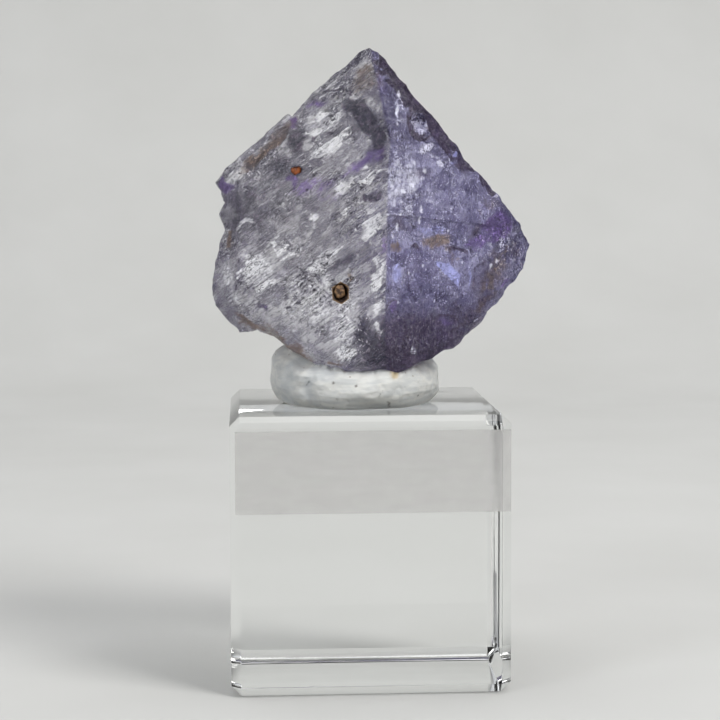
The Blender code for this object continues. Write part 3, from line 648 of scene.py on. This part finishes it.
def fluorite_height(g, p):
    """The finest relief in millimetres, by which the light breaks up in small facets."""
    height = g.plus(g.times(p.plates, 0.08), p.grain, 0.1)
    height = g.plus(height, p.veins, 0.16)
    height = g.plus(height, p.chips)
    return g.plus(height, p.crystals, g.ramp(g.mask("flake"), 0.0, 1.0, 0.15, 1.0))


def fluorite_material():
    """Clear to cloudy crystal: grey on the left, blue violet on the right, with veils, stains and bands."""
    g = Graph(bpy.data.materials.new("purple and grey fluorite"))
    p = fluorite_patterns(g)
    veil, bright = fluorite_veils(g, p)
    frost = g.times(g.mask("frost"), g.ramp(p.crumbs, 0.3, 0.7, 0.3, 1.0))
    g.principled(
        Base_Color=fluorite_colour(g, p, veil, bright),
        Roughness=g.ramp(frost, 0.0, 1.0, 0.05, 0.26),
        Transmission_Weight=fluorite_clearness(g, veil, bright),
        IOR=FLUORITE_IOR,
        Normal=g.bump(fluorite_height(g, p), 1.0, MM),
    )
    g.absorb(srgb(206, 202, 216), 40.0)
    return g.owner


def rust_material(name, shade, light):
    """Earthy rust brown mineral, from its shade to its light tone."""
    g = Graph(bpy.data.materials.new(name))
    place = g.millimetres()
    crumbs = g.noise(place, 2.6, 4.0, 0.65)
    colour = g.mix(shade, light, g.ramp(crumbs, 0.4, 0.62))
    g.principled(Base_Color=colour, Roughness=0.5, Normal=g.bump(crumbs, 0.6, 0.12 * MM))
    return g.owner


def putty_material():
    """Soft white putty with a faint sheen, small dirt specks, a yellow brown stain and finger smears, with
    painted shade in its folds and in a crack.
    """
    g = Graph(bpy.data.materials.new("white putty"))
    place = g.millimetres()
    smears = g.noise(g.stretched(place, (2.4, 1.4, 0.6)), 1.0, 3.0, 0.55)
    pores = g.noise(place, 2.2, 3.0, 0.6)
    colour = g.mix(srgb(204, 206, 205), srgb(226, 226, 222), g.ramp(smears, 0.35, 0.65))
    colour = g.mix(colour, srgb(196, 176, 138), g.mask("stain"))
    # Painted shade: a blue grey darkening in the folds and creases.
    colour = g.mix(colour, srgb(190, 196, 202), g.mask("fold_shade"))
    dirt = g.node("ShaderNodeTexVoronoi", {"Vector": place, "Scale": 0.75}).outputs["Distance"]
    colour = g.mix(colour, srgb(150, 140, 126), g.ramp(dirt, 0.1, 0.05, 0.0, 0.7))
    # Dark dirt specks, and the painted shade of the crack, which shares their mask.
    colour = g.mix(colour, srgb(72, 62, 56), g.mask("dirt"))
    g.principled(
        Base_Color=colour,
        Roughness=g.ramp(smears, 0.3, 0.7, 0.36, 0.52),
        Subsurface_Weight=0.15,
        Subsurface_Radius=(1.0, 0.9, 0.8),
        Subsurface_Scale=0.8 * MM,
        Normal=g.bump(pores, 0.2, 0.08 * MM),
    )
    return g.owner


def acrylic_material():
    """Polished clear acrylic with faint smudges."""
    g = Graph(bpy.data.materials.new("clear acrylic"))
    place = g.millimetres()
    smudges = g.noise(g.stretched(place, (3.0, 3.0, 1.6), math.radians(25)), 1.0, 4.0, 0.6, 0.6)
    g.principled(
        Base_Color=srgb(250, 251, 250),
        Roughness=g.ramp(smudges, 0.5, 0.75, 0.0, 0.09),
        Transmission_Weight=1.0,
        IOR=ACRYLIC_IOR,
    )
    return g.owner


def tape_material():
    """Clear tape, slightly frosted, with a faint grey haze."""
    g = Graph(bpy.data.materials.new("clear frosted tape"))
    place = g.millimetres()
    haze = g.noise(g.stretched(place, (6.0, 4.0, 2.0)), 1.0, 3.0, 0.5)
    g.principled(
        Base_Color=g.mix(srgb(232, 230, 229), srgb(240, 239, 239), haze),
        Roughness=g.ramp(haze, 0.3, 0.7, 0.12, 0.2),
        Transmission_Weight=g.ramp(haze, 0.3, 0.7, 0.8, 0.88),
        IOR=TAPE_IOR,
    )
    return g.owner


def stage_material():
    """Pale warm grey with a very soft mottle, darker far out to the sides of the backdrop."""
    g = Graph(bpy.data.materials.new("pale stage"))
    place = g.millimetres()
    mottle = g.noise(place, 0.03, 3.0, 0.5)
    parts = g.node("ShaderNodeSeparateXYZ", {0: place})
    side = g.ramp(g.math("ABSOLUTE", parts.outputs["X"]), 150.0, 300.0)
    far = g.ramp(parts.outputs["Y"], 120.0, 260.0)
    pale = g.mix(srgb(198, 198, 195), srgb(210, 210, 208), mottle)
    g.principled(
        Base_Color=g.mix(pale, srgb(96, 96, 98), g.times(side, far)),
        Roughness=0.9,
    )
    return g.owner


def grain_noise(points, per_mm, seed, octaves=1):
    """Smooth noise at every point, from about -1 to 1."""
    moved = points * per_mm + 13.7 * seed
    return np.array([noise.fractal(Vector(point), 0.9, 2.1, octaves) for point in moved])


def block_noise(points, sizes, seed):
    """A value from -1 to 1 for each block of space, blocks of sizes millimetres."""
    moved = points / np.array(sizes) + 31.1 * seed
    return np.array([noise.cell(Vector(point)) for point in moved])


def smooth(low, high, value):
    """Runs smoothly from 0 to 1 while the value goes from low to high, or back where low is the larger."""
    t = np.clip((value - low) / (high - low), 0.0, 1.0)
    return t * t * (3 - 2 * t)


def dense_copy(node, edge_at, passes=6):
    """The CAD node's shape in millimetres, split until its edges are as short as edge_at asks."""
    bm = bmesh.new()
    bm.from_mesh(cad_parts[node].data)
    bmesh.ops.scale(bm, vec=(1 / MM,) * 3, verts=bm.verts)
    bmesh.ops.remove_doubles(bm, verts=bm.verts, dist=0.001)
    for _ in range(passes):
        middle = [(e, (e.verts[0].co + e.verts[1].co) / 2) for e in bm.edges]
        long = [edge for edge, place in middle if edge.calc_length() > edge_at(place)]
        if not long:
            break
        bmesh.ops.subdivide_edges(bm, edges=long, cuts=1)
        bmesh.ops.triangulate(bm, faces=[face for face in bm.faces if len(face.verts) > 3])
    bm.normal_update()
    return bm


def arrays_of(bm):
    """Every vertex's place and normal."""
    places = np.array([vertex.co for vertex in bm.verts])
    normals = np.array([vertex.normal for vertex in bm.verts])
    return places, normals


def new_object(name, bm, material, sharp=None):
    """Makes an object of its own mesh, shaded smooth but for edges above the sharp angle."""
    mesh = bpy.data.meshes.new(name)
    bm.to_mesh(mesh)
    bm.free()
    mesh.validate()
    mesh.materials.append(material)
    mesh.shade_smooth()
    if sharp:
        mesh.set_sharp_from_angle(angle=sharp)
    made = bpy.data.objects.new(name, mesh)
    bpy.context.scene.collection.objects.link(made)
    return made


def finished_piece(name, bm, places, node, material, masks=None, sharp=None):
    """Makes the piece from the moved vertices, kept inside the CAD node's box, in the node's place."""
    low, high = (np.array(corner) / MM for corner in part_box(node))
    for vertex, place in zip(bm.verts, np.clip(places, low, high)):
        vertex.co = place * MM
    piece = new_object(name, bm, material, sharp)
    for key, values in (masks or {}).items():
        layer = piece.data.attributes.new(key, "FLOAT", "POINT")
        layer.data.foreach_set("value", values.astype(np.float32))
    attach(piece, "root")
    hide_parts(node)
    return piece


def turned(flat, centre, turn):
    """Places on the front relative to a centre, along and across a direction."""
    angle = math.radians(turn)
    offset = flat - np.array(centre)
    along = offset @ np.array((math.cos(angle), math.sin(angle)))
    across = offset @ np.array((-math.sin(angle), math.cos(angle)))
    return along, across


def ellipse(flat, centre, half_length, half_height, turn):
    """The distance from an ellipse's centre, as a share of its half size: 1 on its edge."""
    along, across = turned(flat, centre, turn)
    return np.hypot(along / half_length, across / half_height)


def plate(flat, corners):
    """How far each place is inside a convex outline, in millimetres."""
    inside = np.full(len(flat), 1e9)
    for (x1, z1), (x2, z2) in zip(corners, corners[1:] + corners[:1]):
        length = math.hypot(x2 - x1, z2 - z1)
        across = ((z2 - z1) * (flat[:, 0] - x1) - (x2 - x1) * (flat[:, 1] - z1)) / length
        inside = np.minimum(inside, across)
    return inside


def line_distance(flat, points):
    """How far each place is from the line through the points, in millimetres."""
    nearest = np.full(len(flat), 1e9)
    for start, end in zip(points, points[1:]):
        start, end = np.array(start), np.array(end)
        run = end - start
        share = np.clip(((flat - start) @ run) / (run @ run), 0.0, 1.0)
        nearest = np.minimum(nearest, np.linalg.norm(flat - start - share[:, None] * run, axis=1))
    return nearest


def front_marks(places):
    """The masks of all marks on the front, each from 0 to 1 at every vertex."""
    flat = places[:, [0, 2]]
    wobble = np.stack([grain_noise(places, 0.8, 1, 3), grain_noise(places, 0.8, 2, 3)], axis=1)
    uneven = flat + 0.55 * wobble
    nearly = flat + 0.12 * wobble
    masks = {name: np.zeros(len(places)) for name in MASKS}

    def lay(name, amount):
        masks[name] = np.maximum(masks[name], amount)

    for _, x, z, half_length, half_height, turn, strength in BROAD_VEILS:
        reach = ellipse(uneven, (x, z), half_length, half_height, turn)
        lay("veil", strength * smooth(1.4, 0.0, reach))
    for name, marks in SOFT_MARKS.items():
        for _, x, z, half_length, half_height, turn, strength in marks:
            reach = ellipse(uneven, (x, z), half_length, half_height, turn)
            lay(name, strength * smooth(1.5, 0.25, reach))
    for name, marks in PLATE_MARKS.items():
        for _, corners, strength in marks:
            lay(name, strength * smooth(-0.15, 0.35, plate(nearly, corners)))
    for name, marks in RING_MARKS.items():
        for _, x, z, half_width, half_height, thick, strength in marks:
            reach = ellipse(nearly, (x, z), half_width, half_height, 0)
            lay(name, strength * smooth(1.4 * thick, 0.5 * thick, np.abs(reach - 1)))
    gaps = smooth(-0.3, 0.2, grain_noise(places, 1.1, 3, 2))
    for name, marks in LINE_MARKS.items():
        for _, half_width, strength, points in marks:
            reach = line_distance(nearly, points)
            lay(name, strength * gaps * smooth(1.5 * half_width, 0.4 * half_width, reach))
    lay("rust", smooth(-0.12, 0.16, plate(flat + 0.06 * wobble, PIT_FILLING)))
    for x, z, radius in SPECKS:
        lay("dot", smooth(1.3, 0.6, ellipse(nearly, (x, z), radius, radius, 0)))
    # The painted glints go into the glint mask.
    for x, z, half_width, half_height in PAINTED_GLINTS:
        lay("glint", smooth(1.5, 0.7, ellipse(nearly, (x, z), half_width, half_height, 0)))
    return masks


def scattered_marks(places, masks):
    """Veils, stains and clouds of the front's kinds on the back and the sides, in place of its marks."""
    behind = smooth(-3.0, 0.0, places[:, 1])
    for name in MASKS:
        masks[name] = masks[name] * (1 - behind)
    masks["veil"] = masks["veil"] + 0.4 * behind
    for number, (name, level) in enumerate(
        (("white", 0.12), ("dark", 0.2), ("violet", 0.22), ("brown", 0.34), ("clear", 0.24))
    ):
        stretched = places * np.array((0.8, 1.0, 1.1))
        amount = smooth(level, level + 0.25, grain_noise(stretched, 0.34, 20 + number, 4))
        masks[name] = masks[name] + 0.6 * amount * behind


def zones(places, normals, masks):
    """Where the crystal is blue violet, where painted shade darkens its upper right bevel, and where its
    surface is frosted or broken.
    """
    x, y, z = places.T
    ridge = np.interp(z, RIDGE_HEIGHTS, RIDGE_X)
    in_front = smooth(-3.5, -6.0, y)
    sharp_side = smooth(-0.12, 0.12, x - ridge)
    soft_side = smooth(-4.0, 4.0, x - 1.5 + 2.0 * grain_noise(places, 0.15, 5, 2))
    masks["right"] = sharp_side * in_front + soft_side * (1 - in_front)
    # The upper right bevel, found by which way it faces: painted shade on the front, and a violet tint all
    # round.
    bevel = smooth(0.2, 0.32, normals[:, 2]) * smooth(46.0, 48.0, z) * smooth(0.3, 0.45, normals[:, 0])
    masks["dark"] = np.maximum(masks["dark"], 0.75 * bevel * in_front)
    masks["violet"] = np.maximum(masks["violet"], 0.25 * bevel)
    above_shelf = smooth(43.1, 43.5, z) * smooth(0.0, 0.3, x - ridge) * smooth(9.0, 5.0, x)
    foot = smooth(36.0, 33.0, z) * smooth(1.0, -1.0, x)
    side = smooth(0.5, 0.75, np.abs(normals[:, 0]))
    masks["frost"] = np.clip(above_shelf + 0.7 * foot + 0.6 * side, 0.0, 1.0)


def crystal_relief(places, normals, masks):
    """How far the fine relief stands out, in millimetres."""
    x, y, z = places.T
    along, across = places @ BAND_ALONG, places @ BAND_ACROSS
    lattice = np.stack([along, y, across], axis=1)
    bent = lattice + 0.25 * np.stack([grain_noise(places, 0.5, 7, 2)] * 3, axis=1)
    right = masks["right"]
    front = smooth(-0.6, -0.85, normals[:, 1])
    steps = 0.05 * block_noise(bent, (3.4, 9.0, 0.9), 1) + 0.035 * block_noise(bent, (1.3, 9.0, 1.6), 2)
    streaks = 0.03 * grain_noise(lattice * np.array((0.35, 1.0, 2.2)), 1.0, 8, 2)
    left_relief = steps + streaks
    squares = 0.04 * block_noise(places, (1.7, 9.0, 2.1), 3)
    squares = squares + 0.03 * block_noise(places, (3.1, 9.0, 0.8), 4)
    cleavage = 0.02 * grain_noise(places * np.array((2.4, 1.0, 0.5)), 1.0, 9, 2)
    right_relief = squares + cleavage
    on_front = left_relief * (1 - right) + right_relief * right
    broken = 0.12 * grain_noise(places, 0.9, 10, 3) + 0.05 * np.abs(grain_noise(places, 2.2, 11, 2))
    elsewhere = 0.6 * on_front + broken
    fine = 0.012 * grain_noise(places, 3.6, 12, 2) * (0.4 + 1.6 * masks["frost"])
    marks = -0.05 * masks["dark"] * masks["frost"] + 0.02 * masks["white"]
    return on_front * front + elsewhere * (1 - front) + fine + marks


def build_crystal(material):
    def edge_at(place):
        return FRONT_EDGE if place.y < -3.0 else OTHER_EDGE

    bm = dense_copy("fluorite_crystal", edge_at)
    places, normals = arrays_of(bm)
    masks = front_marks(places)
    scattered_marks(places, masks)
    zones(places, normals, masks)
    seat = smooth(31.5, 30.0, places[:, 2])
    relief = crystal_relief(places, normals, masks) * (1 - 0.7 * seat)
    places = places + normals * relief[:, None]
    print("crystal triangles", len(bm.faces))
    return finished_piece(
        "fluorite", bm, places, "fluorite_crystal", material, masks, CRYSTAL_SHARP
    )


def build_grain(node, material, seed):
    bm = dense_copy(node, lambda place: GRAIN_EDGE)
    places, normals = arrays_of(bm)
    lumps = 0.07 * grain_noise(places, 2.6, seed, 3)
    places = places + normals * lumps[:, None]
    return finished_piece(f"{node}_rough", bm, places, node, material)


def build_putty(material, crystal):
    """The putty, closed up to the crystal's foot and down onto the cube, with folds and a low crease."""
    bm = dense_copy("putty_pat", lambda place: PUTTY_EDGE)
    places, normals = arrays_of(bm)
    x, y, z = places.T
    wobble = np.stack([grain_noise(places, 0.7, 5), grain_noise(places, 0.7, 6)], axis=1)
    flat = places[:, [0, 2]] + 0.12 * wobble
    in_front = smooth(-1.0, -3.5, y)
    depth = np.zeros(len(places))
    for _, half_width, deep, points in PUTTY_FOLDS:
        depth = depth + deep * smooth(half_width, 0.0, line_distance(flat, points)) * in_front
    folds = 0.12 * grain_noise(places * np.array((0.5, 0.5, 1.0)), 0.55, 3, 2)
    dents = -0.06 * smooth(0.15, 0.5, grain_noise(places, 1.1, 4, 2))
    places = places + normals * (folds + dents)[:, None] + np.outer(depth, (0.0, 1.0, 0.0))
    tree = BVHTree.FromObject(crystal, bpy.context.evaluated_depsgraph_get())
    for index, place in enumerate(places):
        nearest, facing, _, gap = tree.find_nearest(Vector(place) * MM)
        if nearest is not None and gap < SEAT_REACH * MM:
            seat = nearest + facing * SEAT_GAP * MM
            places[index] = np.array(seat) / MM
    places[:, 2] = np.where(z < PUTTY_UNDERSIDE, PUTTY_ON_CUBE, places[:, 2])
    stain = ellipse(flat, (2.54, 28.84), 0.45, 0.4, 0)
    dirt = np.zeros(len(places))
    for x_dirt, z_dirt, radius in PUTTY_DIRT:
        dirt = np.maximum(dirt, smooth(1.5, 0.5, ellipse(flat, (x_dirt, z_dirt), radius, radius, 0)))
    # The crack's painted shade, laid into the dirt mask below.
    crack_shade = smooth(0.14, 0.04, line_distance(flat, PUTTY_CRACK_SHADE))
    masks = {
        "stain": (0.3 * smooth(2.2, 0.6, stain) + 0.6 * smooth(0.5, 0.1, np.abs(stain - 0.9))) * in_front,
        # Painted shade in the folds, as strong as the fold is deep.
        "fold_shade": 0.35 * np.clip(depth / 0.35, 0.0, 1.0),
        "dirt": 0.8 * np.maximum(dirt, crack_shade) * in_front,
    }
    return finished_piece("putty", bm, places, "putty_pat", material, masks)


def build_cube(material):
    """The acrylic block, its chamfers' edges faintly rounded as polishing leaves them."""
    low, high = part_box("acrylic_cube")
    side = high.x - low.x
    bm = bmesh.new()
    bmesh.ops.create_cube(bm, size=side)
    bmesh.ops.translate(bm, vec=(low + high) / 2, verts=bm.verts)
    bmesh.ops.bevel(bm, geom=bm.edges[:], offset=CUBE_CHAMFER * MM, segments=1, affect="EDGES")
    bmesh.ops.bevel(
        bm, geom=bm.edges[:], offset=CUBE_ROUNDING * MM, segments=2, profile=0.6, affect="EDGES"
    )
    cube = new_object("acrylic_block", bm, material, CUBE_SHARP)
    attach(cube, "root")
    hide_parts("acrylic_cube")


def build_stage(material):
    """A floor that bends up into a backdrop."""
    bend_start, bend_radius, top, half_width, near = 0.22, 0.16, 0.9, 1.4, -0.7
    profile = [(near, 0.0), (bend_start, 0.0)]
    for step in range(1, 17):
        angle = math.pi / 2 * step / 16
        profile.append(
            (bend_start + bend_radius * math.sin(angle), bend_radius * (1 - math.cos(angle)))
        )
    profile.append((bend_start + bend_radius, top))
    bm = bmesh.new()
    rows = [
        [bm.verts.new((side, y, z - 0.02 * MM)) for side in (-half_width, half_width)]
        for y, z in profile
    ]
    for (a, b), (c, d) in zip(rows, rows[1:]):
        bm.faces.new((a, b, d, c))
    stage = new_object("stage", bm, material)


def area_light(name, place, width, height, power, colour):
    data = bpy.data.lights.new(name, "AREA")
    data.shape = "RECTANGLE"
    data.size, data.size_y = width, height
    data.energy = power
    data.color = colour
    light = bpy.data.objects.new(name, data)
    light.location = place
    light.rotation_mode = "QUATERNION"
    light.rotation_quaternion = (LIT_POINT - Vector(place)).to_track_quat("-Z", "Y")
    bpy.context.scene.collection.objects.link(light)


def build_room():
    """A room that is darker low down and behind the camera, with broad patches of light and shade."""
    world = bpy.data.worlds.new("studio")
    g = Graph(world)
    where = g.node("ShaderNodeTexCoord", {}).outputs["Generated"]
    parts = g.node("ShaderNodeSeparateXYZ", {0: where}).outputs
    upward = g.ramp(parts["Z"], -0.35, 0.8, 0.42, 1.0)
    forward = g.ramp(parts["Y"], -1.0, 0.3, 0.6, 1.0)
    patches = g.ramp(g.noise(where, 2.4, 1.0), 0.44, 0.56, 0.5, 1.5)
    strength = g.times(patches, g.times(upward, forward))
    light = g.mix(srgb(0, 0, 0), srgb(248, 250, 253), strength, clamp=False)
    background = g.nodes["Background"]
    g.feed(background.inputs["Color"], light)
    background.inputs["Strength"].default_value = ROOM_STRENGTH
    bpy.context.scene.world = world


def build_camera():
    forward = Vector((
        math.sin(CAMERA_YAW) * math.cos(CAMERA_PITCH),
        math.cos(CAMERA_YAW) * math.cos(CAMERA_PITCH),
        -math.sin(CAMERA_PITCH),
    ))
    level = forward.cross(Vector((0.0, 0.0, 1.0))).normalized()
    upright = level.cross(forward)
    right = level * math.cos(CAMERA_ROLL) + upright * math.sin(CAMERA_ROLL)
    up = upright * math.cos(CAMERA_ROLL) - level * math.sin(CAMERA_ROLL)
    data = bpy.data.cameras.new("camera")
    data.lens = CAMERA_LENS
    data.sensor_width = CAMERA_SENSOR
    data.clip_start = 0.005
    data.clip_end = 20.0
    camera = bpy.data.objects.new("camera", data)
    bpy.context.scene.collection.objects.link(camera)
    axes = Matrix((right, up, -forward)).transposed().to_4x4()
    camera.matrix_world = Matrix.Translation(CAMERA_PLACE) @ axes
    bpy.context.scene.camera = camera


def main():
    bpy.context.scene.view_settings.view_transform = "Standard"
    build_camera()
    build_stage(stage_material())
    for light in LIGHTS:
        area_light(*light)
    build_room()
    crystal = build_crystal(fluorite_material())
    tan = rust_material("brown iron oxide", srgb(54, 34, 22), srgb(146, 112, 78))
    orange = rust_material("orange brown iron oxide", srgb(92, 44, 14), srgb(164, 88, 38))
    build_grain("rust_grain_lower", tan, 1)
    build_grain("rust_grain_upper", orange, 2)
    build_putty(putty_material(), crystal)
    build_cube(acrylic_material())
    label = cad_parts["label_strip"]
    label.data.materials.clear()
    label.data.materials.append(tape_material())


main()
